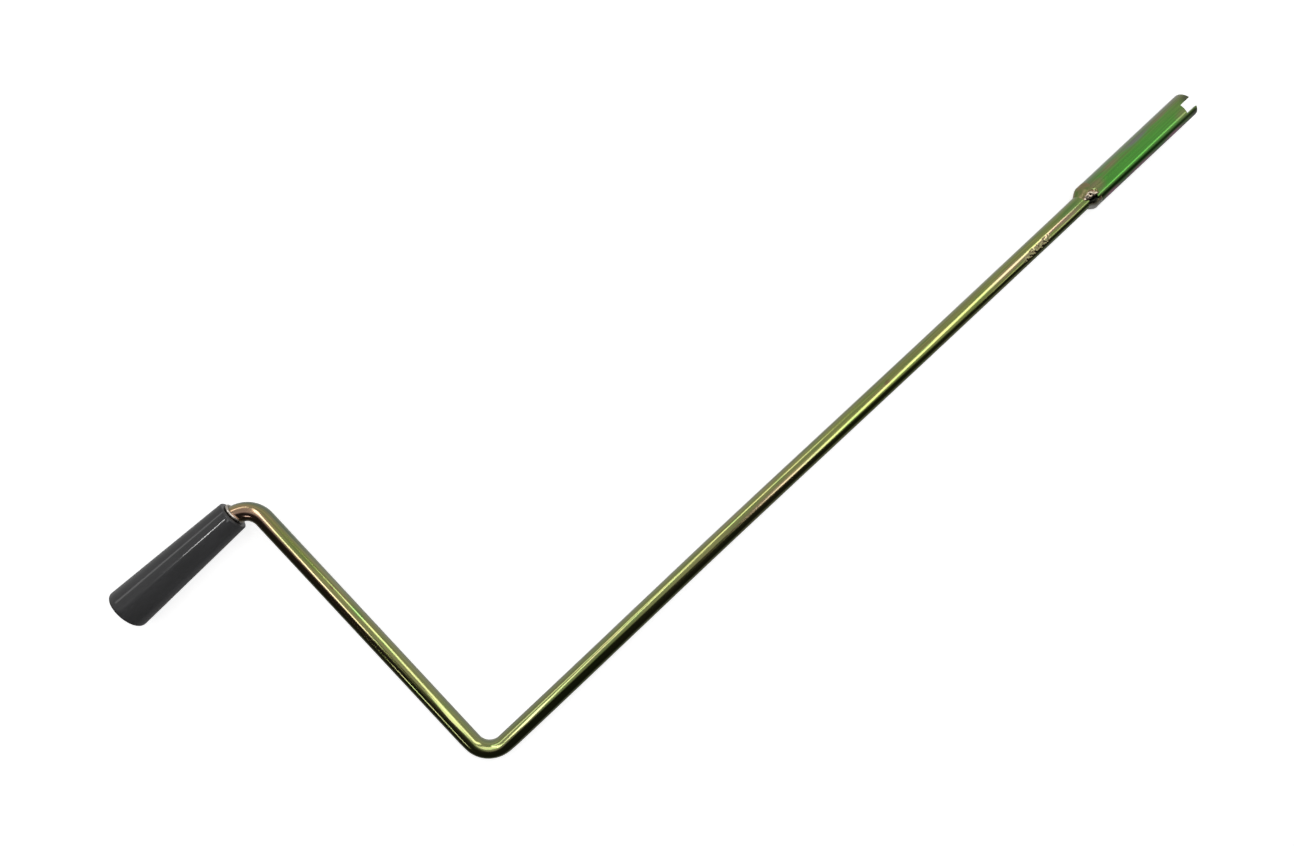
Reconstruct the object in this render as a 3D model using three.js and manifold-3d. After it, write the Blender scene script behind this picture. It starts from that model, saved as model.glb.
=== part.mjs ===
// Hand crank for a window or shutter gear: a round bar bent twice, with a slotted drive socket
// welded on one end and a freely turning plastic grip on the other, held between a ring and a clip.
// Millimetres, +Z up. The origin is the centre of the bar's end face inside the socket, which is
// where a spindle bottoms out. +X runs out of the socket's mouth along the drive axis, and +Y runs
// along the crank arm from the drive axis to the grip.
import * as THREE from 'three';
import { mergeVertices } from 'three/addons/utils/BufferGeometryUtils.js';
import Module from 'manifold-3d';

// Bent bar
const BAR_DIAMETER = 12;
const THROW = 219; // drive axis to grip axis
const REACH = 630; // arm axis to the socket's mouth
const BEND_RADIUS = 14.5; // centre line of both bends
const SPIGOT_END = 92.2; // arm axis to the bar's end inside the grip
const SPIGOT_CHAMFER = 1;

// Drive socket
const SOCKET_DIAMETER = 18.2;
const SOCKET_BORE = 13;
const SOCKET_LENGTH = 93;
const SPINDLE_DEPTH = 50; // mouth to the bar's end face
const SLOT_WIDTH = 7.2;
const SLOT_DEPTH = 8.4;
const MOUTH_CHAMFER = 0.4;

// Fillet weld between the bar and the socket's lower end
const WELD_LENGTH = 6.5;

// Round-edged ring on the bar that keeps the grip's mouth off the bend
const RING_DIAMETER = 15.2;
const RING_THICKNESS = 1.6;

// Grip
const GRIP_START = 12.3; // arm axis to the grip's mouth
const GRIP_LENGTH = 86.2;
const GRIP_MOUTH_DIAMETER = 20.6;
const GRIP_END_DIAMETER = 27.6;
const GRIP_BORE = 12.6;
const MOUTH_COUNTERSINK = 1.4;
const MOUTH_ROUND = 1;
const END_ROUND = 2.2;
const POCKET_DIAMETER = 18.4; // pocket in the outer end that holds the washer, clip and cap
const POCKET_DEPTH = 15;
const CAP_THICKNESS = 4;
const CAP_CROWN = 1.2; // how far the cap's middle stands above its edge
const CAP_FLANGE_DIAMETER = 21.4;
const CAP_FLANGE_THICKNESS = 1.5;

// Retaining parts on the bar's end
const WASHER_DIAMETER = 17;
const WASHER_THICKNESS = 1.2;
const CLIP_DIAMETER = 16.4;
const CLIP_SHEET = 0.7;
const CLIP_RISE = 1.6; // height of the prongs above the clip's rim
const CLIP_PRONGS = 6;
const CLIP_SLIT_WIDTH = 1.4;

const GAP = 0.3; // clearance between pieces that touch
const TURN = 2 * Math.PI;
const ROUND_SIDES = 48;
const BAR_SIDES = 32;

const barRadius = BAR_DIAMETER / 2;
const armX = SPINDLE_DEPTH - REACH;
const gripMouthX = armX - GRIP_START;

const wasm = await Module();
wasm.setup();

const zincBar = { color: 0x9a9a4a, roughness: 0.32, metalness: 1 };
const zincSocket = { color: 0x5f9a3c, roughness: 0.3, metalness: 1 };
const weldMetal = { color: 0x8c8468, roughness: 0.45, metalness: 1 };
const zincRing = { color: 0xb9b3a4, roughness: 0.3, metalness: 1 };
const springSteel = { color: 0x9a9ca0, roughness: 0.35, metalness: 1 };
const blackPlastic = { color: 0x26272a, roughness: 0.4, metalness: 0 };

function toSolid(geometry) {
  const bare = geometry.index ? geometry.toNonIndexed() : geometry.clone();
  bare.deleteAttribute('normal');
  bare.deleteAttribute('uv');
  const merged = mergeVertices(bare, 1e-4);
  return new wasm.Manifold(new wasm.Mesh({
    numProp: 3,
    vertProperties: new Float32Array(merged.attributes.position.array),
    triVerts: new Uint32Array(merged.index.array),
  }));
}

function toGeometry(solid) {
  const { vertProperties, triVerts } = solid.getMesh();
  const geometry = new THREE.BufferGeometry();
  geometry.setAttribute('position', new THREE.BufferAttribute(new Float32Array(vertProperties), 3));
  geometry.setIndex(new THREE.BufferAttribute(new Uint32Array(triVerts), 1));
  return geometry;
}

function named(name, geometry, finish) {
  geometry.computeVertexNormals();
  const mesh = new THREE.Mesh(geometry, new THREE.MeshStandardMaterial(finish));
  mesh.name = name;
  return mesh;
}

// A round piece about the X axis. The outline is a list of [x, radius] that closes on itself or
// starts and ends on the axis, and goes anticlockwise where x is to the right and radius is up.
function turned(outline, sides = ROUND_SIDES) {
  const points = outline.map(([x, radius]) => new THREE.Vector2(radius, x)).reverse();
  return new THREE.LatheGeometry(points, sides).rotateZ(-Math.PI / 2);
}

function closed(outline) {
  return [...outline, outline[0]];
}

// Points of a quarter round of the given radius about [x, r], from one angle to another in degrees,
// where 0 points along +X and 90 points away from the axis.
function roundCorner(x, r, radius, from, to, steps = 5) {
  return Array.from({ length: steps + 1 }, (_, i) => {
    const angle = THREE.MathUtils.degToRad(from + ((to - from) * i) / steps);
    return [x + radius * Math.cos(angle), r + radius * Math.sin(angle)];
  });
}

function circleShape(radius, sides) {
  const points = Array.from({ length: sides }, (_, i) => {
    const angle = (TURN * i) / sides;
    return new THREE.Vector2(radius * Math.cos(angle), radius * Math.sin(angle));
  });
  return new THREE.Shape(points);
}

// The bar's centre line as a list of stations, each with a point and a direction. Extruding along
// it puts one section at each station, so the bends are fine and the straights coarse.
class StationPath extends THREE.Curve {
  constructor(stations) {
    super();
    this.stations = stations;
  }

  station(t) {
    return this.stations[Math.round(t * (this.stations.length - 1))];
  }

  getPoint(t, target = new THREE.Vector3()) {
    return target.copy(this.station(t).point);
  }

  getPointAt(t, target) {
    return this.getPoint(t, target);
  }

  getTangentAt(t, target = new THREE.Vector3()) {
    return target.copy(this.station(t).direction);
  }
}

function straight(start, end, steps) {
  const direction = end.clone().sub(start).normalize();
  return Array.from({ length: steps + 1 }, (_, i) => ({
    point: start.clone().lerp(end, i / steps),
    direction,
  }));
}

// A quarter bend about centre. turnWay is 1 for a left-hand bend and -1 for a right-hand one.
function bend(start, centre, turnWay, steps) {
  return Array.from({ length: steps + 1 }, (_, i) => {
    const angle = (turnWay * Math.PI * i) / (2 * steps);
    const spoke = start.clone().sub(centre).applyAxisAngle(new THREE.Vector3(0, 0, 1), angle);
    const direction = new THREE.Vector3(-spoke.y, spoke.x, 0).multiplyScalar(turnWay).normalize();
    return { point: centre.clone().add(spoke), direction };
  });
}

function barStations() {
  const at = (x, y) => new THREE.Vector3(x, y, 0);
  const r = BEND_RADIUS;
  return [
    ...straight(at(0, 0), at(armX + r, 0), 4),
    ...bend(at(armX + r, 0), at(armX + r, r), -1, 12).slice(1),
    ...straight(at(armX, r), at(armX, THROW - r), 2).slice(1),
    ...bend(at(armX, THROW - r), at(armX - r, THROW - r), 1, 12).slice(1),
    ...straight(at(armX - r, THROW), at(armX - SPIGOT_END, THROW), 1).slice(1),
  ];
}

// A round rod of the given radius along the bar's centre line.
function rodSolid(radius) {
  const stations = barStations();
  return toSolid(new THREE.ExtrudeGeometry(circleShape(radius, BAR_SIDES), {
    steps: stations.length - 1,
    extrudePath: new StationPath(stations),
  }));
}

function crankBar() {
  const end = armX - SPIGOT_END;
  const clear = barRadius + 1;
  const chamferCut = turned(closed([
    [end - 1, barRadius - SPIGOT_CHAMFER - 1],
    [end + SPIGOT_CHAMFER + 1, clear],
    [end - 1, clear],
  ])).translate(0, THROW, 0);
  return toGeometry(rodSolid(barRadius).subtract(toSolid(chamferCut)));
}

function driveSocket() {
  const outer = SOCKET_DIAMETER / 2;
  const bore = SOCKET_BORE / 2;
  const back = SPINDLE_DEPTH - SOCKET_LENGTH;
  const tube = toSolid(turned(closed([
    [back, bore],
    [SPINDLE_DEPTH - MOUTH_CHAMFER, bore],
    [SPINDLE_DEPTH, bore + MOUTH_CHAMFER],
    [SPINDLE_DEPTH, outer - MOUTH_CHAMFER],
    [SPINDLE_DEPTH - MOUTH_CHAMFER, outer],
    [back, outer],
  ])));
  const cutLength = SLOT_DEPTH + 2;
  const cut = new THREE.BoxGeometry(cutLength, SLOT_WIDTH, SOCKET_DIAMETER + 4);
  cut.translate(SPINDLE_DEPTH - SLOT_DEPTH + cutLength / 2, 0, 0);
  return toGeometry(tube.subtract(toSolid(cut)));
}

function socketWeld() {
  const toe = barRadius + GAP;
  const root = SPINDLE_DEPTH - SOCKET_LENGTH - GAP;
  const height = SOCKET_DIAMETER / 2 - toe;
  const bead = Array.from({ length: 9 }, (_, i) => {
    const angle = (Math.PI * i) / 16;
    return [root - WELD_LENGTH * Math.sin(angle), toe + height * Math.cos(angle)];
  });
  return turned(closed([[root, toe], ...bead]));
}

// The ring lies against the grip's mouth, where the bar has begun to bend, so its hole follows the bar.
function stopRing() {
  const face = gripMouthX + GAP;
  const round = RING_THICKNESS / 2;
  const ring = turned(closed([
    [face, barRadius - 3],
    [face + RING_THICKNESS, barRadius - 3],
    ...roundCorner(face + round, RING_DIAMETER / 2 - round, round, 0, 180, 8),
  ])).translate(0, THROW, 0);
  return toGeometry(toSolid(ring).subtract(rodSolid(barRadius + GAP)));
}

function gripRadius(along) {
  return (GRIP_MOUTH_DIAMETER + ((GRIP_END_DIAMETER - GRIP_MOUTH_DIAMETER) * along) / GRIP_LENGTH) / 2;
}

// The grip is turned with its mouth at 0 and its outer end at -GRIP_LENGTH.
function gripSleeve() {
  const bore = GRIP_BORE / 2;
  const pocket = POCKET_DIAMETER / 2;
  const rebate = CAP_FLANGE_DIAMETER / 2 + GAP;
  const rebateDepth = CAP_FLANGE_THICKNESS + GAP;
  const end = -GRIP_LENGTH;
  return turned(closed([
    [-MOUTH_COUNTERSINK, bore],
    [end + POCKET_DEPTH, bore],
    [end + POCKET_DEPTH, pocket],
    [end + rebateDepth, pocket],
    [end + rebateDepth, rebate],
    [end, rebate],
    ...roundCorner(end + END_ROUND, gripRadius(GRIP_LENGTH - END_ROUND) - END_ROUND, END_ROUND, 180, 92),
    ...roundCorner(-MOUTH_ROUND, gripRadius(MOUTH_ROUND) - MOUTH_ROUND, MOUTH_ROUND, 88, 0),
    [0, bore + MOUTH_COUNTERSINK],
  ]).reverse(), 64);
}

function gripEndCap() {
  const skirt = POCKET_DIAMETER / 2 - GAP;
  const flange = CAP_FLANGE_DIAMETER / 2;
  const end = -GRIP_LENGTH;
  const crown = Array.from({ length: 7 }, (_, i) => {
    const share = 1 - i / 6;
    return [end + 0.4 - CAP_CROWN * (1 - share * share), flange * share];
  });
  return turned([
    [end + CAP_THICKNESS, 0],
    [end + CAP_THICKNESS, skirt],
    [end + CAP_FLANGE_THICKNESS, skirt],
    [end + CAP_FLANGE_THICKNESS, flange],
    ...crown,
  ]);
}

function thrustWasher() {
  const seat = -GRIP_LENGTH + POCKET_DEPTH - GAP;
  const inner = barRadius + GAP;
  const outer = WASHER_DIAMETER / 2;
  return turned(closed([
    [seat - WASHER_THICKNESS, inner],
    [seat, inner],
    [seat, outer],
    [seat - WASHER_THICKNESS, outer],
  ]));
}

// Push-on spring clip: a flat rim with prongs that slope up towards the bar.
function retainingClip() {
  const seat = -GRIP_LENGTH + POCKET_DEPTH - 2 * GAP - WASHER_THICKNESS;
  const inner = barRadius + GAP;
  const outer = CLIP_DIAMETER / 2;
  const shoulder = (inner + outer) / 2;
  const dish = toSolid(turned(closed([
    [seat - CLIP_SHEET - CLIP_RISE, inner],
    [seat - CLIP_RISE, inner],
    [seat, shoulder],
    [seat, outer],
    [seat - CLIP_SHEET, outer],
    [seat - CLIP_SHEET, shoulder],
  ])));
  let clip = dish;
  for (let i = 0; i < CLIP_PRONGS; i += 1) {
    const slit = new THREE.BoxGeometry(3 * CLIP_RISE + 2, shoulder, CLIP_SLIT_WIDTH);
    slit.translate(seat - CLIP_RISE, shoulder / 2, 0).rotateX((TURN * i) / CLIP_PRONGS);
    clip = clip.subtract(toSolid(slit));
  }
  return toGeometry(clip);
}

function crankAssembly() {
  const crank = new THREE.Group();
  crank.add(named('crank_bar', crankBar(), zincBar));
  crank.add(named('drive_socket', driveSocket(), zincSocket));
  crank.add(named('socket_weld', socketWeld(), weldMetal));
  crank.add(named('stop_ring', stopRing(), zincRing));
  return crank;
}

function gripAssembly() {
  const grip = new THREE.Group();
  grip.position.set(gripMouthX, THROW, 0);
  grip.add(named('thrust_washer', thrustWasher(), springSteel));
  grip.add(named('retaining_clip', retainingClip(), springSteel));
  grip.add(named('grip_sleeve', gripSleeve(), blackPlastic));
  grip.add(named('grip_end_cap', gripEndCap(), blackPlastic));
  return grip;
}

const handCrank = new THREE.Group();
handCrank.add(crankAssembly(), gripAssembly());

export default handCrank;
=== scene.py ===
"""Looks of the hand crank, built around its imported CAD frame: a chromated bar and drive socket, their
weld, a stop ring and a moulded black grip, on a pale floor under a few strip lights."""
import math

import bmesh
import bpy
from mathutils import Matrix, Vector, noise


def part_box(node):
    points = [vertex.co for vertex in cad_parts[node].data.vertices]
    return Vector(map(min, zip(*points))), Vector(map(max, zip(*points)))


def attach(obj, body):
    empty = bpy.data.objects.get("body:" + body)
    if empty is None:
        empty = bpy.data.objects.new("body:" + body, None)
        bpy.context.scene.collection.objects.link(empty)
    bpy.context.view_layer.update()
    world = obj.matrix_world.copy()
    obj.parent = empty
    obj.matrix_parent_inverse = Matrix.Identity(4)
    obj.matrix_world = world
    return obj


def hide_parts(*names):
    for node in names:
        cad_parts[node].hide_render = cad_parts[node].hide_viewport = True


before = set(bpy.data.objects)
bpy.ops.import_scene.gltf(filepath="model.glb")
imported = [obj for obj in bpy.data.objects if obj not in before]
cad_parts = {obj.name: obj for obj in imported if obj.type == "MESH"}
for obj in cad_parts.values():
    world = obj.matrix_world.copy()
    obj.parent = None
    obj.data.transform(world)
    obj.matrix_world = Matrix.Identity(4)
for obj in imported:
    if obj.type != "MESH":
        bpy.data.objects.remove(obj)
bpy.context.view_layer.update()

# Sizes that the frame gives, in metres. The drive axis is X at y = z = 0.
BAR_LO, BAR_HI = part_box("crank_bar")
SOCKET_LO, SOCKET_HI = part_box("drive_socket")
WELD_LO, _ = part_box("socket_weld")
RING_LO, RING_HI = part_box("stop_ring")
SLEEVE_LO, SLEEVE_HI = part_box("grip_sleeve")
CAP_LO, CAP_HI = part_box("grip_end_cap")
BAR_R = BAR_HI.z
THROW = BAR_HI.y - BAR_R
SOCKET_R = SOCKET_HI.z
MOUTH_X = SOCKET_HI.x
RING_R = RING_HI.z
GRIP_MOUTH_X = SLEEVE_HI.x
GRIP_END_X = SLEEVE_LO.x

# Sizes that the frame's boxes don't show, as designed.
REACH = 0.630  # arm axis to the socket's mouth
BEND_R = 0.0145
SOCKET_BORE_R = 0.0065
SLOT_W = 0.0072
SLOT_DEPTH = 0.0084
GRIP_MOUTH_R = 0.0103
GRIP_END_R = 0.0138
GRIP_BORE_R = 0.0063
ARM_X = MOUTH_X - REACH
ELBOW_S = -(ARM_X + BEND_R)  # length along the bar at which the elbow starts
ARM_S = ELBOW_S + BEND_R * math.pi / 2
TOP_S = ARM_S + THROW - 2 * BEND_R
SPIGOT_S = TOP_S + BEND_R * math.pi / 2

TAU = 2 * math.pi
Z = Vector((0, 0, 1))


# ---------------------------------------------------------------- camera, floor and light

def make_camera():
    """Looks almost straight down on the crank from 0.6 m, turned so that the shaft rises to the right."""
    place = Vector((-0.40740, 0.10153, 0.60776))
    looks_at = Vector((-0.36357, 0.08756, 0.0))
    image_up = Vector((0.6743, 0.7378, 0.0317))
    back = (place - looks_at).normalized()
    right = image_up.cross(back).normalized()
    up = back.cross(right)
    data = bpy.data.cameras.new("camera")
    data.sensor_width = 36
    data.lens = 26.43
    data.clip_start = 0.01
    cam = bpy.data.objects.new("camera", data)
    cam.matrix_world = Matrix.Translation(place) @ Matrix((right, up, back)).transposed().to_4x4()
    bpy.context.scene.collection.objects.link(cam)
    bpy.context.scene.camera = cam


def floor_height(x, y):
    """Level far away, and dipping gently between, so that elbow, socket and grip all rest on it."""
    gap = 0.0002
    along_shaft = -BAR_R - (SOCKET_R - BAR_R) * smooth(ARM_X, SOCKET_LO.x, x)
    return along_shaft + (BAR_R + SLEEVE_LO.z) * smooth(0, THROW, y) - gap


def make_floor():
    """A wide pale sheet under the crank, hidden from glossy rays."""
    steps, far = 24, 7.0
    xs = [-far, *(ARM_X + (SOCKET_LO.x - ARM_X) * i / steps for i in range(steps + 1)), far]
    ys = [-far, *(THROW * i / steps for i in range(steps + 1)), far]
    bm = bmesh.new()
    rows = [[bm.verts.new((x, y, floor_height(x, y))) for y in ys] for x in xs]
    for low, high in zip(rows, rows[1:]):
        for k in range(len(ys) - 1):
            bm.faces.new((low[k], high[k], high[k + 1], low[k + 1]))
    floor = finish_mesh("floor", bm, floor_paper())
    floor.visible_glossy = False


def floor_paper():
    """White paper with a faint cloudiness, which glows so that the picture's ground is nearly white."""
    mat = bpy.data.materials.new("floor_paper")
    mat.use_nodes = True
    nt = mat.node_tree
    shader = nt.nodes["Principled BSDF"]
    shader.inputs["Roughness"].default_value = 0.9
    shader.inputs["Specular IOR Level"].default_value = 0.1
    grain = nt.nodes.new("ShaderNodeTexNoise")
    grain.inputs["Scale"].default_value = 9
    ramp = nt.nodes.new("ShaderNodeValToRGB")
    ramp.color_ramp.elements[0].color = (0.58, 0.58, 0.58, 1)
    ramp.color_ramp.elements[1].color = (0.62, 0.62, 0.62, 1)
    nt.links.new(grain.outputs["Fac"], ramp.inputs["Fac"])
    nt.links.new(ramp.outputs["Color"], shader.inputs["Base Color"])
    shader.inputs["Emission Color"].default_value = (1, 1, 1, 1)
    shader.inputs["Emission Strength"].default_value = 0.80
    return mat


def strip_light(name, place, along, length, width, radiance, aim=None):
    """A soft rectangular light at place, long in the direction along, facing the aim point or down."""
    data = bpy.data.lights.new(name, "AREA")
    data.shape = "RECTANGLE"
    data.size = length
    data.size_y = width
    data.energy = radiance * math.pi * length * width
    light = bpy.data.objects.new(name, data)
    back = (Vector(place) - Vector(aim)).normalized() if aim else Z
    side = Vector(along)
    side = (side - back * side.dot(back)).normalized()
    turn = Matrix((side, back.cross(side), back)).transposed().to_4x4()
    light.matrix_world = Matrix.Translation(place) @ turn
    light.visible_camera = False
    bpy.context.scene.collection.objects.link(light)
    return light


def make_lights():
    """Each strip has a name, a place, the direction of its length, a length, a width and a radiance. The
    first four hang flat over the bar, and the others face the crank."""
    crank = (-0.35, 0.08, 0)
    strip_light("near_strip", (-0.6175, 0.175, 0.35), (0.39, 1, 0), 0.15, 0.060, 3.0)
    strip_light("cross_strip", (-0.500, 0.3275, 0.35), (1, 0.92, 0), 0.244, 0.062, 4.0)
    strip_light("back_strip", (-0.360, 0.485, 0.35), (0.67, 1, 0), 0.18, 0.062, 1.8)
    strip_light("elbow_card", (-0.556, 0.031, 0.06), (1, 1, 0), 0.036, 0.028, 1.6)
    strip_light("long_strip", (-0.065, 0.01, 0.48), (1, 0.65, 0), 0.56, 0.16, 2.4, crank)
    strip_light("far_strip", (0.33, -0.40, 0.48), (1, 0.3, 0), 0.40, 0.09, 0.85, crank)
    strip_light("window_strip", (-0.55, 1.33, 0.75), (1, 0, 0), 1.2, 0.22, 2.0, crank)
    strip_light("side_strip", (-1.345, -0.035, 0.48), (0, 1, 0), 0.18, 0.09, 3.2, crank)


def light_grip(grip):
    """A narrow bright light for the thin line along the grip, which leaves the metal beside it alone."""
    grip_mouth = (-0.61, THROW, 0)
    strip = strip_light("grip_strip", (-1.070, 0.465, 2.0), (1, 0, 0), 0.16, 0.085, 40.0, grip_mouth)
    lit = bpy.data.collections.new("lit_by_grip_strip")
    lit.objects.link(grip)
    strip.light_linking.receiver_collection = lit


def make_world():
    """Soft even light from the side that the picture's top faces, a dark patch overhead, a faint glow
    from the table below, and for the camera a white backdrop."""
    world = bpy.data.worlds.new("studio")
    world.use_nodes = True
    nt = world.node_tree
    nt.nodes.clear()
    out = nt.nodes.new("ShaderNodeOutputWorld")
    where = nt.nodes.new("ShaderNodeTexCoord").outputs["Generated"]
    window = map_range(nt, towards(nt, where, (0.708, 0.683, 0.18)), -0.12, 0.10, 0.02, 0.60)
    overhead = map_range(nt, towards(nt, where, (-0.06, -0.17, 0.983)), 0.974, 0.992, 1.0, 0.12)
    table = map_range(nt, towards(nt, where, (-0.25, 0, 1)), 0.03, -0.40, 0.0, 0.22)
    light = join(nt, "MAXIMUM", join(nt, "MULTIPLY", window, overhead), table)
    studio = nt.nodes.new("ShaderNodeBackground")
    nt.links.new(light, studio.inputs["Strength"])
    backdrop = nt.nodes.new("ShaderNodeBackground")
    backdrop.inputs["Strength"].default_value = 1.0
    path = nt.nodes.new("ShaderNodeLightPath")
    mix = nt.nodes.new("ShaderNodeMixShader")
    nt.links.new(path.outputs["Is Camera Ray"], mix.inputs["Fac"])
    nt.links.new(studio.outputs["Background"], mix.inputs[1])
    nt.links.new(backdrop.outputs["Background"], mix.inputs[2])
    nt.links.new(mix.outputs["Shader"], out.inputs["Surface"])
    bpy.context.scene.world = world


def towards(nt, direction, aim):
    """How far a direction points towards the aim: 1 along it, 0 across it."""
    node = nt.nodes.new("ShaderNodeVectorMath")
    node.operation = "DOT_PRODUCT"
    node.inputs[1].default_value = aim
    nt.links.new(direction, node.inputs[0])
    return node.outputs["Value"]


def join(nt, operation, a, b):
    node = nt.nodes.new("ShaderNodeMath")
    node.operation = operation
    nt.links.new(a, node.inputs[0])
    nt.links.new(b, node.inputs[1])
    return node.outputs["Value"]


def map_range(nt, value, low, high, to_low, to_high):
    node = nt.nodes.new("ShaderNodeMapRange")
    node.interpolation_type = "SMOOTHSTEP"
    node.inputs["From Min"].default_value = low
    node.inputs["From Max"].default_value = high
    node.inputs["To Min"].default_value = to_low
    node.inputs["To Max"].default_value = to_high
    nt.links.new(value, node.inputs["Value"])
    return node.outputs["Result"]


# ---------------------------------------------------------------- mesh helpers

def finish_mesh(name, bm, mat):
    """Makes the object of a bmesh, smoothly shaded and with outward normals."""
    bmesh.ops.recalc_face_normals(bm, faces=bm.faces)
    mesh = bpy.data.meshes.new(name)
    bm.to_mesh(mesh)
    bm.free()
    for face in mesh.polygons:
        face.use_smooth = True
    mesh.materials.append(mat)
    obj = bpy.data.objects.new(name, mesh)
    bpy.context.scene.collection.objects.link(obj)
    return obj


def store_vectors(obj, name, vectors):
    """Keeps one vector for each vertex, for the materials to read."""
    layer = obj.data.attributes.new(name, "FLOAT_VECTOR", "POINT")
    layer.data.foreach_set("vector", [c for vector in vectors for c in vector])


def smooth(low, high, value):
    """0 at low, 1 at high, and an S curve between."""
    share = min(1.0, max(0.0, (value - low) / (high - low)))
    return share * share * (3 - 2 * share)


def rings_to_bmesh(rings, close_ends):
    """A skin over rings of equally many points; the ends are closed with fans, or the rings wrap."""
    bm = bmesh.new()
    rows = [[bm.verts.new(p) for p in ring] for ring in rings]
    count = len(rings[0])
    pairs = list(zip(rows, rows[1:]))
    if not close_ends:
        pairs.append((rows[-1], rows[0]))
    for low, high in pairs:
        for k in range(count):
            n = (k + 1) % count
            bm.faces.new((low[k], low[n], high[n], high[k]))
    if close_ends:
        for row in (rows[0], rows[-1]):
            hub = bm.verts.new(sum((v.co for v in row), Vector()) / count)
            for k in range(count):
                bm.faces.new((hub, row[k], row[(k + 1) % count]))
    return bm


# ---------------------------------------------------------------- bent bar

# The shaft isn't quite straight: how far it bows towards the grip at some places along X.
BOW = [(-0.551, -0.00045), (-0.367, 0.00038), (-0.170, -0.00015), (-0.070, -0.00015), (-0.043, 0.0)]
SCUFF_START, SCUFF_END = -0.0825, -0.1115  # a stretch of worn tool marks, along X


def bar_stations():
    """Along the bar's centre line from the socket to the grip: (length so far, point, direction)."""
    fine, coarse = 0.0004, 0.0015
    stations = []

    def run(start, end, step):
        length = (end - start).length
        steps = max(1, round(length / step))
        base = stations[-1][0] if stations else 0.0
        for i in range(1 if stations else 0, steps + 1):
            share = i / steps
            stations.append((base + length * share, start.lerp(end, share), (end - start).normalized()))

    def bend(centre, first_spoke, way):
        base = stations[-1][0]
        steps = 32
        for i in range(1, steps + 1):
            angle = way * math.pi / 2 * i / steps
            spoke = Matrix.Rotation(angle, 3, "Z") @ first_spoke
            direction = (Z.cross(spoke) * way).normalized()
            stations.append((base + BEND_R * abs(angle), centre + spoke, direction))

    scuff_start, scuff_end = Vector((SCUFF_START, 0, 0)), Vector((SCUFF_END, 0, 0))
    run(Vector((0, 0, 0)), scuff_start, coarse)
    run(scuff_start, scuff_end, fine)
    run(scuff_end, Vector((ARM_X + BEND_R, 0, 0)), coarse)
    bend(Vector((ARM_X + BEND_R, BEND_R, 0)), Vector((0, -BEND_R, 0)), -1)
    run(Vector((ARM_X, BEND_R, 0)), Vector((ARM_X, THROW - BEND_R, 0)), coarse)
    bend(Vector((ARM_X - BEND_R, THROW - BEND_R, 0)), Vector((BEND_R, 0, 0)), 1)
    run(Vector((ARM_X - BEND_R, THROW, 0)), Vector((BAR_LO.x, THROW, 0)), coarse)
    return stations


def bow(point):
    """How far the centre line stands off its straight line, which fades out along the arm."""
    fade = 1 - smooth(BEND_R, 0.1, point.y)
    x = min(max(point.x, BOW[0][0]), BOW[-1][0])
    for (x0, y0), (x1, y1) in zip(BOW, BOW[1:]):
        if x <= x1:
            return fade * (y0 + (y1 - y0) * smooth(x0, x1, x))
    return 0.0


def elbow_share(s):
    """1 at the middle of the elbow and 0 outside it."""
    middle = (ELBOW_S + ARM_S) / 2
    reach = 1.5 * (ARM_S - middle)
    return max(0.0, 1 - ((s - middle) / reach) ** 2) ** 1.5


def scuff(x, across, rise):
    """How worn the bar is at a place, and how deep it is dented there, both from 0 to 1."""
    fade_in, fade_out = 0.003, 0.006
    lengthwise = smooth(SCUFF_START, SCUFF_START - fade_in, x) * smooth(SCUFF_END, SCUFF_END + fade_out, x)
    sideways = smooth(-0.30, -0.05, across) * (1 - smooth(0.45, 0.65, across)) * (rise > 0)
    worn = lengthwise * sideways
    if worn == 0:
        return 0.0, 0.0
    coarse_dents = noise.noise(Vector((x * 520, across * 3.4, 7.0)))
    fine_dents = noise.noise(Vector((x * 1300, across * 8.0, 2.0)))
    return worn, worn * smooth(-0.05, 0.45, coarse_dents + 0.45 * fine_dents)


def make_bar(mat):
    """The bar, a little wavy, flattened on the outside of the elbow and dented where it is worn."""
    sides = 96
    waviness = 0.00002
    flattening = 0.00055
    dent_depth = 0.00028
    rings, places, marks = [], [], []
    for s, point, along in bar_stations():
        left = Z.cross(along)
        centre = point + Vector((0, bow(point), 0))
        elbow = elbow_share(s)
        ring = []
        for k in range(sides):
            a = TAU * k / sides
            across, rise = math.cos(a), math.sin(a)
            wave = noise.noise(Vector((s * 40, across * 1.5, rise * 1.5)))
            worn, dent = scuff(point.x, across, rise) if s < ELBOW_S else (0.0, 0.0)
            r = BAR_R - waviness * (1 + wave)
            r -= flattening * elbow * max(0, across) ** 2
            r -= dent_depth * dent
            ring.append(centre + left * (r * across) + Z * (r * rise))
            places.append((-s, across, rise))
            marks.append((worn, dent, 0))
        rings.append(ring)
    ends = [(places[0][0], 0, 0), (places[-1][0], 0, 0)]
    bar = finish_mesh("bent_bar", rings_to_bmesh(rings, close_ends=True), mat)
    store_vectors(bar, "place", places + ends)
    store_vectors(bar, "marks", marks + [(0, 0, 0)] * 2)
    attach(bar, "crank")
    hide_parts("crank_bar")


# ---------------------------------------------------------------- drive socket

def lathe(outline, sides, axis_y=0.0):
    """Turns a closed list of (x, radius) about the line y = axis_y, z = 0."""
    rings = []
    for x, r in outline:
        ring = []
        for k in range(sides):
            a = TAU * k / sides
            ring.append(Vector((x, axis_y + r * math.cos(a), r * math.sin(a))))
        rings.append(ring)
    return rings_to_bmesh(rings, close_ends=False)


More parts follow.
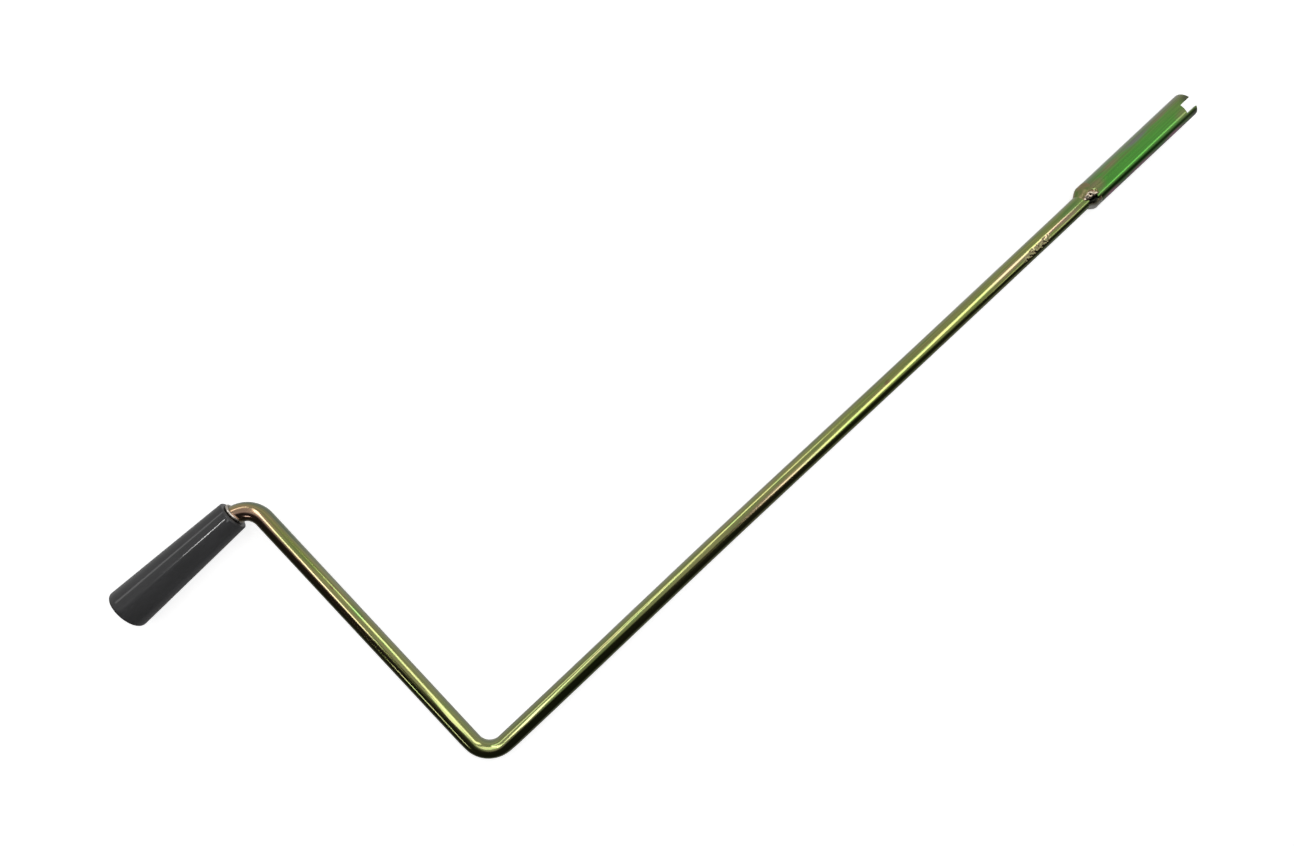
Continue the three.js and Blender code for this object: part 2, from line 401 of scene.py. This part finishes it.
def make_socket(mat):
    """The tube with its open slot, cut through both walls, and rounded edges."""
    back, mouth = SOCKET_LO.x, MOUTH_X
    steps, edge = 40, 0.0004
    outer = [(mouth + (back - mouth) * i / steps, SOCKET_R) for i in range(steps + 1)]
    inner = [(x, SOCKET_BORE_R) for x, _ in reversed(outer)]
    socket = finish_mesh("slotted_socket", lathe(outer + inner, 96), mat)
    bpy.ops.mesh.primitive_cube_add(size=1)
    cutter = bpy.context.object
    cutter.dimensions = (2 * SLOT_DEPTH, SLOT_W, 4 * SOCKET_R)
    cutter.location = (mouth, 0, 0)
    cut = socket.modifiers.new("slot", "BOOLEAN")
    cut.operation = "DIFFERENCE"
    cut.solver = "EXACT"
    cut.object = cutter
    apply_modifiers(socket)
    bpy.data.objects.remove(cutter)
    round_edges(socket, edge, 4)
    places = [(v.co.x, -v.co.y / SOCKET_R, v.co.z / SOCKET_R) for v in socket.data.vertices]
    store_vectors(socket, "place", places)
    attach(socket, "crank")
    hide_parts("drive_socket")


def apply_modifiers(obj):
    """Gives the object the mesh that its modifiers make, and takes them off."""
    bpy.context.view_layer.update()
    graph = bpy.context.evaluated_depsgraph_get()
    mesh = bpy.data.meshes.new_from_object(obj.evaluated_get(graph), depsgraph=graph)
    obj.modifiers.clear()
    old = obj.data
    obj.data = mesh
    bpy.data.meshes.remove(old)


def round_edges(obj, width, segments):
    """Rounds the edges that turn by more than 40 degrees."""
    bevel = obj.modifiers.new("round", "BEVEL")
    bevel.width = width
    bevel.segments = segments
    bevel.limit_method = "ANGLE"
    bevel.angle_limit = math.radians(40)
    apply_modifiers(obj)
    for face in obj.data.polygons:
        face.use_smooth = True


# ---------------------------------------------------------------- weld

# Where the weld ended: a rough patch of beads that stand up and pits that go in. Each is a place along X,
# how far across the bar, a radius as a share of the socket's radius, and a height in metres.
PATCH_X, PATCH_ACROSS = -0.0462, 0.10
PATCH_LENGTH, PATCH_WIDTH = 0.0068, 0.58
TALL_BEAD = 0.0008
BEADS = [
    (-0.0500, -0.12, 0.14, 0.0008),
    (-0.0480, -0.27, 0.13, 0.0006),
    (-0.0460, -0.25, 0.13, 0.0007),
    (-0.0474, 0.00, 0.15, 0.0009),
    (-0.0447, -0.06, 0.13, 0.0008),
    (-0.0430, 0.08, 0.12, 0.0006),
    (-0.0478, 0.28, 0.16, -0.0010),
    (-0.0450, 0.36, 0.20, -0.0014),
    (-0.0422, 0.42, 0.18, -0.0012),
    (-0.0462, -0.12, 0.07, -0.0009),
]


def weld_end(x, across, rise):
    """How far the rough end of the weld stands out at a place, and how much it is rough there."""
    if rise <= 0:
        return 0.0, 0.0
    lift = 0.0
    for bead_x, bead_across, reach, height in BEADS:
        away = math.hypot((x - bead_x) / SOCKET_R, across - bead_across) / reach
        lift += height * math.exp(-away * away)
    from_patch = math.hypot((x - PATCH_X) / PATCH_LENGTH, (across - PATCH_ACROSS) / PATCH_WIDTH)
    rough = 1 - smooth(0.7, 1.0, from_patch)
    return lift * rough, rough


def fillet_radius(x, across, rise, toe, swing):
    """The smooth part of the weld: up from the toe on the bar, and feathered out on the tube."""
    sunk, proud = 0.0002, 0.00005
    shoulder_x, feather_x = SOCKET_LO.x - 0.0018, SOCKET_LO.x + 0.0020
    feather_length, feather_swing, feather_drop = 0.0022, 0.0012, 0.0006
    ripple_height, ripple_fade = 0.00018, 0.002
    ripple = noise.noise(Vector((x * 330, across * 2.6, rise * 2.6)))
    r = BAR_R - sunk
    r += (SOCKET_R + sunk - BAR_R) * smooth(toe, shoulder_x, x)
    r += ripple_height * ripple * smooth(toe, toe + ripple_fade, x)
    r += proud - feather_drop * smooth(feather_x + feather_swing * swing, feather_x + feather_length, x)
    return r


def make_weld(mat):
    """A smooth fillet from the bar up over the socket's end, rough where the weld ended."""
    sides, steps = 224, 56
    toe_x, last_x = WELD_LO.x - 0.0004, SOCKET_LO.x + 0.0075
    toe_reach, toe_swing = 0.0022, 0.0008
    grain_height = 0.0003
    rings, places, marks = [], [], []
    for i in range(steps + 1):
        ring = []
        for k in range(sides):
            a = TAU * k / sides
            across, rise = math.cos(a), math.sin(a)
            swing = noise.noise(Vector((across * 1.4, rise * 1.4, 3.0)))
            toe = toe_x - toe_reach * max(0, -across) + toe_swing * swing
            x = toe + (last_x - toe) * i / steps
            r = fillet_radius(x, across, rise, toe, swing)
            lift, rough = weld_end(x, across, rise)
            grains = noise.noise(Vector((x * 900, across * 8.0, rise * 8.0)))
            r += lift + grain_height * rough * grains
            ring.append(Vector((x, max(-SOCKET_R, -r * across), r * rise)))
            places.append((x, across, rise))
            # The second mark is the height that the weld's painted highlights and painted shade follow.
            marks.append((rough, lift / TALL_BEAD + 0.5 * grains, 0))
        rings.append(ring)
    inner_rings = ((last_x, SOCKET_R - 0.0012), (toe_x, BAR_R - 0.0008))
    for x, r in inner_rings:
        ring = []
        for k in range(sides):
            a = TAU * k / sides
            ring.append(Vector((x, -r * math.cos(a), r * math.sin(a))))
            places.append((x, math.cos(a), math.sin(a)))
            marks.append((0, 0, 0))
        rings.append(ring)
    weld = finish_mesh("weld_bead", rings_to_bmesh(rings, close_ends=False), mat)
    store_vectors(weld, "place", places)
    store_vectors(weld, "marks", marks)
    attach(weld, "crank")
    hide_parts("socket_weld")


# ---------------------------------------------------------------- stop ring

def make_stop_ring(mat):
    """A round-edged metal ring on the bar, against the grip's mouth."""
    edge = 0.0006
    inner_r = BAR_R - 0.0002
    back, front = RING_LO.x, RING_HI.x
    outline = [
        (back, inner_r),
        *arc(back + edge, RING_R - edge, edge, 180, 90),
        *arc(front - edge, RING_R - edge, edge, 90, 0),
        (front, inner_r),
    ]
    ring = finish_mesh("stop_ring_worn", lathe(outline, 96, THROW), mat)
    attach(ring, "crank")
    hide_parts("stop_ring")


# ---------------------------------------------------------------- grip

def arc(x, r, radius, start, end, steps=8):
    """Outline points of a rounded edge about (x, r), from one angle to another in degrees."""
    points = []
    for i in range(steps + 1):
        a = math.radians(start + (end - start) * i / steps)
        points.append((x + radius * math.cos(a), r + radius * math.sin(a)))
    return points


def grip_radius(x):
    """The taper: the grip's outer radius at a place along X."""
    share = (GRIP_MOUTH_X - x) / (GRIP_MOUTH_X - GRIP_END_X)
    return GRIP_MOUTH_R + (GRIP_END_R - GRIP_MOUTH_R) * share


def make_grip(mat):
    """The tapered sleeve with its bore, the pocket for the clip, the cap's rebate and rounded ends."""
    pocket_r = 0.0092
    rebate_r = CAP_HI.z + 0.0003
    rebate_x = GRIP_END_X + 0.0018
    pocket_x = GRIP_END_X + 0.015
    end_round, mouth_round, sink = 0.0022, 0.0010, 0.0014
    side_steps = 40
    end_x, mouth_x = GRIP_END_X + end_round, GRIP_MOUTH_X - mouth_round
    side_xs = [end_x + (mouth_x - end_x) * i / side_steps for i in range(1, side_steps)]
    side = [(x, grip_radius(x)) for x in side_xs]
    outline = [
        (GRIP_MOUTH_X - sink, GRIP_BORE_R),
        (pocket_x, GRIP_BORE_R),
        (pocket_x, pocket_r),
        (rebate_x, pocket_r),
        (rebate_x, rebate_r),
        (GRIP_END_X, rebate_r),
        *arc(end_x, grip_radius(end_x) - end_round, end_round, 180, 92),
        *side,
        *arc(mouth_x, grip_radius(mouth_x) - mouth_round, mouth_round, 88, 0),
        (GRIP_MOUTH_X, GRIP_BORE_R + sink),
    ]
    grip = finish_mesh("moulded_grip", lathe(outline, 128, THROW), mat)
    sharpen(grip, 35)
    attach(grip, "grip")
    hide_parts("grip_sleeve")
    return grip


def sharpen(obj, degrees):
    """Marks edges sharper than the angle, so that flat faces meet crisply."""
    bm = bmesh.new()
    bm.from_mesh(obj.data)
    for edge in bm.edges:
        edge.smooth = len(edge.link_faces) == 2 and edge.calc_face_angle(0) < math.radians(degrees)
    bm.to_mesh(obj.data)
    bm.free()


def make_cap(mat):
    """The plug that closes the grip's end: a skirt in the pocket, a flange and a slightly crowned face."""
    flange_r = CAP_HI.z
    skirt_r = 0.0089
    hub_r = 0.0005
    inner_x = CAP_HI.x
    lip_x = GRIP_END_X + 0.0015
    rim_depth = 0.0004
    crown_x = CAP_LO.x
    steps, sides = 20, 96
    crown = []
    for i in range(steps):
        share = 1 - i / steps
        x = GRIP_END_X + rim_depth + (crown_x - GRIP_END_X - rim_depth) * (1 - share ** 2)
        crown.append((x, flange_r * share))
    outline = [(inner_x, hub_r), (inner_x, skirt_r), (lip_x, skirt_r), (lip_x, flange_r), *crown]
    rings = []
    for x, r in outline:
        rings.append([
            Vector((x, THROW + r * math.cos(TAU * k / sides), r * math.sin(TAU * k / sides)))
            for k in range(sides)
        ])
    cap = finish_mesh("end_plug", rings_to_bmesh(rings, close_ends=True), mat)
    sharpen(cap, 35)
    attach(cap, "grip")
    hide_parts("grip_end_cap")


# ---------------------------------------------------------------- materials

class Nodes:
    """Short names for building one material's node tree."""

    def __init__(self, name):
        self.mat = bpy.data.materials.new(name)
        self.mat.use_nodes = True
        self.tree = self.mat.node_tree
        self.shader = self.tree.nodes["Principled BSDF"]

    def add(self, kind, **inputs):
        node = self.tree.nodes.new(kind)
        for key, value in inputs.items():
            node.inputs[key.replace("_", " ")].default_value = value
        return node

    def link(self, source, target):
        self.tree.links.new(source, target)

    def attribute(self, name):
        node = self.tree.nodes.new("ShaderNodeAttribute")
        node.attribute_name = name
        return node.outputs["Vector"]

    def stretched(self, vector, scale):
        node = self.add("ShaderNodeMapping", Scale=scale)
        self.link(vector, node.inputs["Vector"])
        return node.outputs["Vector"]

    def noise(self, vector, scale, detail=2.0, roughness=0.5):
        node = self.add("ShaderNodeTexNoise", Scale=scale, Detail=detail, Roughness=roughness)
        self.link(vector, node.inputs["Vector"])
        return node.outputs["Fac"]

    def ramp(self, value, stops):
        node = self.tree.nodes.new("ShaderNodeValToRGB")
        elements = node.color_ramp.elements
        while len(elements) < len(stops):
            elements.new(0.5)
        for element, (at, colour) in zip(elements, stops):
            element.position = at
            element.color = (*colour, 1)
        self.link(value, node.inputs["Fac"])
        return node.outputs["Color"]

    def span(self, value, low, high, to_low=0.0, to_high=1.0):
        node = self.add("ShaderNodeMapRange", From_Min=low, From_Max=high, To_Min=to_low, To_Max=to_high)
        self.link(value, node.inputs["Value"])
        return node.outputs["Result"]

    def math(self, operation, a, b):
        node = self.tree.nodes.new("ShaderNodeMath")
        node.operation = operation
        for socket, value in zip(node.inputs, (a, b)):
            if isinstance(value, (int, float)):
                socket.default_value = value
            else:
                self.link(value, socket)
        return node.outputs["Value"]

    def mix(self, fac, a, b, blend="MIX"):
        node = self.tree.nodes.new("ShaderNodeMix")
        node.data_type = "RGBA"
        node.blend_type = blend
        for socket, value in zip((node.inputs[0], node.inputs[6], node.inputs[7]), (fac, a, b)):
            if isinstance(value, (int, float)):
                socket.default_value = value
            elif isinstance(value, tuple):
                socket.default_value = (*value, 1)
            else:
                self.link(value, socket)
        return node.outputs[2]

    def part(self, vector, axis):
        node = self.tree.nodes.new("ShaderNodeSeparateXYZ")
        self.link(vector, node.inputs["Vector"])
        return node.outputs[axis]

    def bump(self, height, distance, under=None):
        node = self.add("ShaderNodeBump", Strength=1.0, Distance=distance)
        self.link(height, node.inputs["Height"])
        if under is not None:
            self.link(under, node.inputs["Normal"])
        return node.outputs["Normal"]


def tint_spot(n, colour, place, spot):
    """Mixes a soft-edged tint into the colour round one spot on the bar or tube; most spots are stains,
    and some are painted sheen and painted shade. A spot has a place along the piece in metres, a turn
    about it in degrees from +Z (positive on the outside of the elbow), a length in metres, a width in
    radii, a tint and an amount."""
    along, turn, length, width, tint, amount = spot
    turn = math.radians(turn)
    centre = Vector((along / length, math.sin(turn) / width, math.cos(turn) / width))
    mapping = n.add("ShaderNodeMapping", Location=-centre, Scale=(1 / length, 1 / width, 1 / width))
    n.link(place, mapping.inputs["Vector"])
    away = n.tree.nodes.new("ShaderNodeVectorMath")
    away.operation = "LENGTH"
    n.link(mapping.outputs["Vector"], away.inputs[0])
    return n.mix(n.span(away.outputs["Value"], 1.0, 0.35, 0.0, amount), colour, tint)


def chromate(name, stops, low, high, spots, side_sheen):
    """Iridescent chromate on drawn steel. Its colour drifts along the bar as stops say, from low to high,
    turns to the side sheen towards both sides, a painted sheen for the paler look of the coat at a
    glancing view, and is tinted at the spots, which are stains and, on the socket, also painted sheen and
    shade. The noises' scales are per metre along the bar and per radius across it."""
    n = Nodes(name)
    place = n.attribute("place")
    along = n.part(place, "X")
    drift = n.noise(n.stretched(place, (14, 0.5, 0.5)), 1.0, detail=3)
    share = n.math("ADD", n.span(along, low, high), n.span(drift, 0.3, 0.7, -0.03, 0.03))
    colour = n.ramp(share, stops)
    bands = n.noise(n.stretched(place, (9, 2.6, 2.6)), 1.0, detail=2)
    colour = n.mix(n.span(bands, 0.50, 0.72, 0.0, 0.40), colour, (0.50, 0.33, 0.18))
    green = n.noise(n.stretched(place, (16, 1.6, 1.6)), 3.0, detail=1)
    colour = n.mix(n.span(green, 0.50, 0.70, 0.0, 0.55), colour, (0.18, 0.36, 0.05))
    # Painted sheen: paler and greyer towards both sides, as the coat looks at a glancing view.
    across = n.math("ABSOLUTE", n.part(place, "Y"), 0)
    colour = n.mix(n.span(across, 0.72, 1.0, 0.0, 0.75), colour, side_sheen)
    for spot in spots:
        colour = tint_spot(n, colour, place, spot)
    streaks = n.noise(n.stretched(place, (12, 6, 6)), 1.0, detail=4, roughness=0.6)
    colour = n.mix(n.span(streaks, 0.42, 0.58, 0.0, 0.8), colour, (0.70, 0.70, 0.60), "MULTIPLY")
    return n, colour, streaks


def coat_metal(n, colour, streaks):
    """Metal of the given colour under a clear, slightly dull coat, brushed lightly by the streaks."""
    n.link(colour, n.shader.inputs["Base Color"])
    n.shader.inputs["Metallic"].default_value = 1.0
    n.shader.inputs["Coat Weight"].default_value = 1.0
    n.shader.inputs["Coat IOR"].default_value = 1.7
    n.shader.inputs["Coat Roughness"].default_value = 0.09
    n.link(n.span(streaks, 0.2, 0.8, 0.12, 0.19), n.shader.inputs["Roughness"])
    n.link(n.bump(streaks, 0.0000012), n.shader.inputs["Normal"])
    return n.mat


def bar_finish():
    """The ramp's stops run from the grip's end of the bar, through the arm and elbow, to the socket. A
    spot's place is minus the length along the bar from the origin, which is X on the shaft."""
    stops = [
        (0.00, (0.60, 0.36, 0.19)),
        (0.035, (0.58, 0.36, 0.17)),
        (0.08, (0.42, 0.42, 0.12)),
        (0.20, (0.42, 0.43, 0.12)),
        (0.30, (0.38, 0.41, 0.12)),
        (0.36, (0.30, 0.35, 0.10)),
        (0.42, (0.29, 0.35, 0.08)),
        (0.62, (0.46, 0.46, 0.13)),
        (0.76, (0.36, 0.44, 0.07)),
        (0.92, (0.40, 0.45, 0.09)),
        (1.00, (0.24, 0.44, 0.06)),
    ]
    green, copper, brown = (0.15, 0.40, 0.06), (0.58, 0.34, 0.26), (0.30, 0.12, 0.06)
    dark_green, olive = (0.16, 0.22, 0.12), (0.30, 0.42, 0.05)
    spots = [
        (-(SPIGOT_S + TOP_S) / 2, 10, 0.026, 0.85, copper, 0.8),
        (-TOP_S + 0.045, 12, 0.085, 0.50, copper, 0.7),
        (-TOP_S, -72, 0.050, 0.45, dark_green, 0.8),
        (-TOP_S + 0.030, -35, 0.045, 0.30, olive, 0.7),
        (-ARM_S - 0.108, -38, 0.010, 0.35, green, 0.7),
        (-ARM_S - 0.130, -28, 0.0025, 0.14, brown, 0.8),
        (-0.231, -20, 0.003, 0.30, brown, 0.6),
        (-0.335, 2, 0.050, 0.35, copper, 0.5),
        (-0.120, -12, 0.024, 0.42, copper, 0.6),
        (-0.062, -30, 0.014, 0.50, green, 0.7),
        (-0.076, -9, 0.026, 0.20, copper, 0.8),
        (-0.066, 4, 0.014, 0.24, copper, 0.6),
    ]
    # The last colour is the side sheen: painted sheen, greyer towards both sides of the bar.
    n, colour, streaks = chromate(
        "chromated_bar", stops, -(SPIGOT_S + 0.02), SOCKET_LO.x, spots, (0.34, 0.36, 0.22)
    )
    marks = n.attribute("marks")
    colour = n.mix(n.span(n.part(marks, "X"), 0.0, 1.0, 0.0, 0.55), colour, (0.55, 0.42, 0.24))
    colour = n.mix(n.span(n.part(marks, "Y"), 0.35, 1.0, 0.0, 0.7), colour, (0.26, 0.14, 0.07))
    return coat_metal(n, colour, streaks)


def socket_finish():
    """Green chromate, with pink along the lower edge as a painted glancing sheen, brown and grey patches,
    and painted shade on the jaw tips.
    """
    stops = [
        (0.00, (0.20, 0.34, 0.07)),
        (0.10, (0.11, 0.47, 0.03)),
        (0.45, (0.09, 0.50, 0.02)),
        (0.80, (0.13, 0.47, 0.03)),
        (1.00, (0.27, 0.39, 0.07)),
    ]
    bright, pink, brown = (0.09, 0.58, 0.02), (1.00, 0.38, 0.66), (0.38, 0.30, 0.13)
    grey, dark = (0.27, 0.27, 0.24), (0.09, 0.08, 0.04)
    spots = [
        (-0.010, 2, 0.060, 0.60, bright, 0.75),
        # Painted sheen: pink along the lower edge, for the pink the film shows at a glancing view.
        (-0.031, 57, 0.009, 0.32, pink, 1.0),
        (-0.004, 58, 0.016, 0.30, pink, 0.8),
        (0.028, 57, 0.011, 0.32, pink, 1.0),
        (-0.021, -46, 0.010, 0.28, brown, 0.8),
        (0.004, -50, 0.014, 0.32, grey, 0.85),
        (0.026, -55, 0.010, 0.30, brown, 0.6),
        (-0.038, -18, 0.007, 0.60, brown, 0.7),
        (0.038, 8, 0.008, 0.40, brown, 0.5),
        # Painted shade: the jaw tips darkened at the mouth, where the rounded edges look dark.
        (MOUTH_X - 0.001, -28, 0.006, 0.50, dark, 0.8),
        (MOUTH_X - 0.001, 55, 0.006, 0.50, dark, 0.7),
    ]
    # The last colour is the side sheen: painted sheen, browner grey towards both sides of the socket.
    n, colour, streaks = chromate(
        "chromated_socket", stops, SOCKET_LO.x, MOUTH_X, spots, (0.27, 0.26, 0.18)
    )
    return coat_metal(n, colour, streaks)


def weld_finish():
    """Stained metal, paler grey on the lower side as a painted reflection of the floor, with painted
    highlights on the beads and painted shade in the pits of the rough patch.
    """
    n = Nodes("weld_bead")
    place = n.attribute("place")
    cloud = n.noise(n.stretched(place, (220, 1.8, 1.8)), 1.0, detail=4, roughness=0.6)
    smooth_metal = n.ramp(cloud, [
        (0.32, (0.20, 0.32, 0.09)),
        (0.5, (0.34, 0.31, 0.14)),
        (0.68, (0.42, 0.28, 0.16)),
    ])
    marks = n.attribute("marks")
    # Painted reflection: the lower side is paler grey and less metallic, for the white floor it reflects.
    lower = n.span(n.part(place, "Y"), 0.55, 0.85)
    smooth_metal = n.mix(lower, smooth_metal, (0.50, 0.49, 0.46))
    # Painted highlight and shade: black in the pits, cream on top of the beads, by their height.
    bead_glint_pit_shade = n.ramp(n.span(n.part(marks, "Y"), -1.0, 1.0), [
        (0.42, (0.02, 0.02, 0.015)),
        (0.56, (0.42, 0.26, 0.13)),
        (0.72, (1.00, 0.85, 0.66)),
    ])
    colour = n.mix(n.span(n.part(marks, "X"), 0.15, 0.6), smooth_metal, bead_glint_pit_shade)
    n.link(colour, n.shader.inputs["Base Color"])
    n.link(n.span(lower, 0.0, 1.0, 1.0, 0.35), n.shader.inputs["Metallic"])
    n.link(n.span(cloud, 0.3, 0.7, 0.46, 0.30), n.shader.inputs["Roughness"])
    n.link(n.bump(cloud, 0.00004), n.shader.inputs["Normal"])
    return n.mat


def zinc_finish():
    """Bright turned zinc."""
    n = Nodes("bright_zinc")
    where = n.tree.nodes.new("ShaderNodeTexCoord").outputs["Object"]
    turned = n.noise(n.stretched(where, (6000, 300, 300)), 1.0, detail=2)
    colour = n.ramp(turned, [(0.3, (0.62, 0.55, 0.47)), (0.7, (0.86, 0.80, 0.72))])
    n.link(colour, n.shader.inputs["Base Color"])
    n.shader.inputs["Metallic"].default_value = 1.0
    n.link(n.span(turned, 0.3, 0.7, 0.2, 0.3), n.shader.inputs["Roughness"])
    n.link(n.bump(turned, 0.000002), n.shader.inputs["Normal"])
    return n.mat


def plastic_finish():
    """Satin black plastic, a little cloudy, with a fine grain and lengthwise scratches."""
    n = Nodes("black_plastic")
    where = n.tree.nodes.new("ShaderNodeTexCoord").outputs["Object"]
    cloud = n.noise(n.stretched(where, (30, 90, 90)), 1.0, detail=3)
    grain = n.noise(where, 2600, detail=2)
    scratch = n.noise(n.stretched(where, (25, 1500, 1500)), 1.0, detail=3, roughness=0.6)
    colour = n.ramp(cloud, [(0.35, (0.050, 0.050, 0.051)), (0.65, (0.060, 0.060, 0.062))])
    n.link(colour, n.shader.inputs["Base Color"])
    n.shader.inputs["Specular IOR Level"].default_value = 0.35
    n.link(n.span(scratch, 0.35, 0.7, 0.07, 0.13), n.shader.inputs["Roughness"])
    fine = n.bump(grain, 0.0000010)
    n.link(n.bump(scratch, 0.0000010, under=fine), n.shader.inputs["Normal"])
    return n.mat


def spring_finish():
    """Grey spring steel, brushed."""
    n = Nodes("spring_steel")
    where = n.tree.nodes.new("ShaderNodeTexCoord").outputs["Object"]
    brushed = n.noise(n.stretched(where, (2000, 300, 300)), 1.0, detail=3)
    colour = n.ramp(brushed, [(0.3, (0.42, 0.43, 0.45)), (0.7, (0.66, 0.66, 0.68))])
    n.link(colour, n.shader.inputs["Base Color"])
    n.shader.inputs["Metallic"].default_value = 1.0
    n.link(n.span(brushed, 0.3, 0.7, 0.25, 0.4), n.shader.inputs["Roughness"])
    n.link(n.bump(brushed, 0.000002), n.shader.inputs["Normal"])
    return n.mat


def dress_hidden_parts():
    """The washer and clip inside the grip keep their CAD shape and get a finish."""
    mat = spring_finish()
    for name in ("thrust_washer", "retaining_clip"):
        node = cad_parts[name]
        node.data.materials.clear()
        node.data.materials.append(mat)


make_camera()
make_floor()
make_lights()
make_world()
make_bar(bar_finish())
make_socket(socket_finish())
make_weld(weld_finish())
make_stop_ring(zinc_finish())
plastic = plastic_finish()
light_grip(make_grip(plastic))
make_cap(plastic)
dress_hidden_parts()
bpy.context.scene.view_settings.view_transform = "Standard"
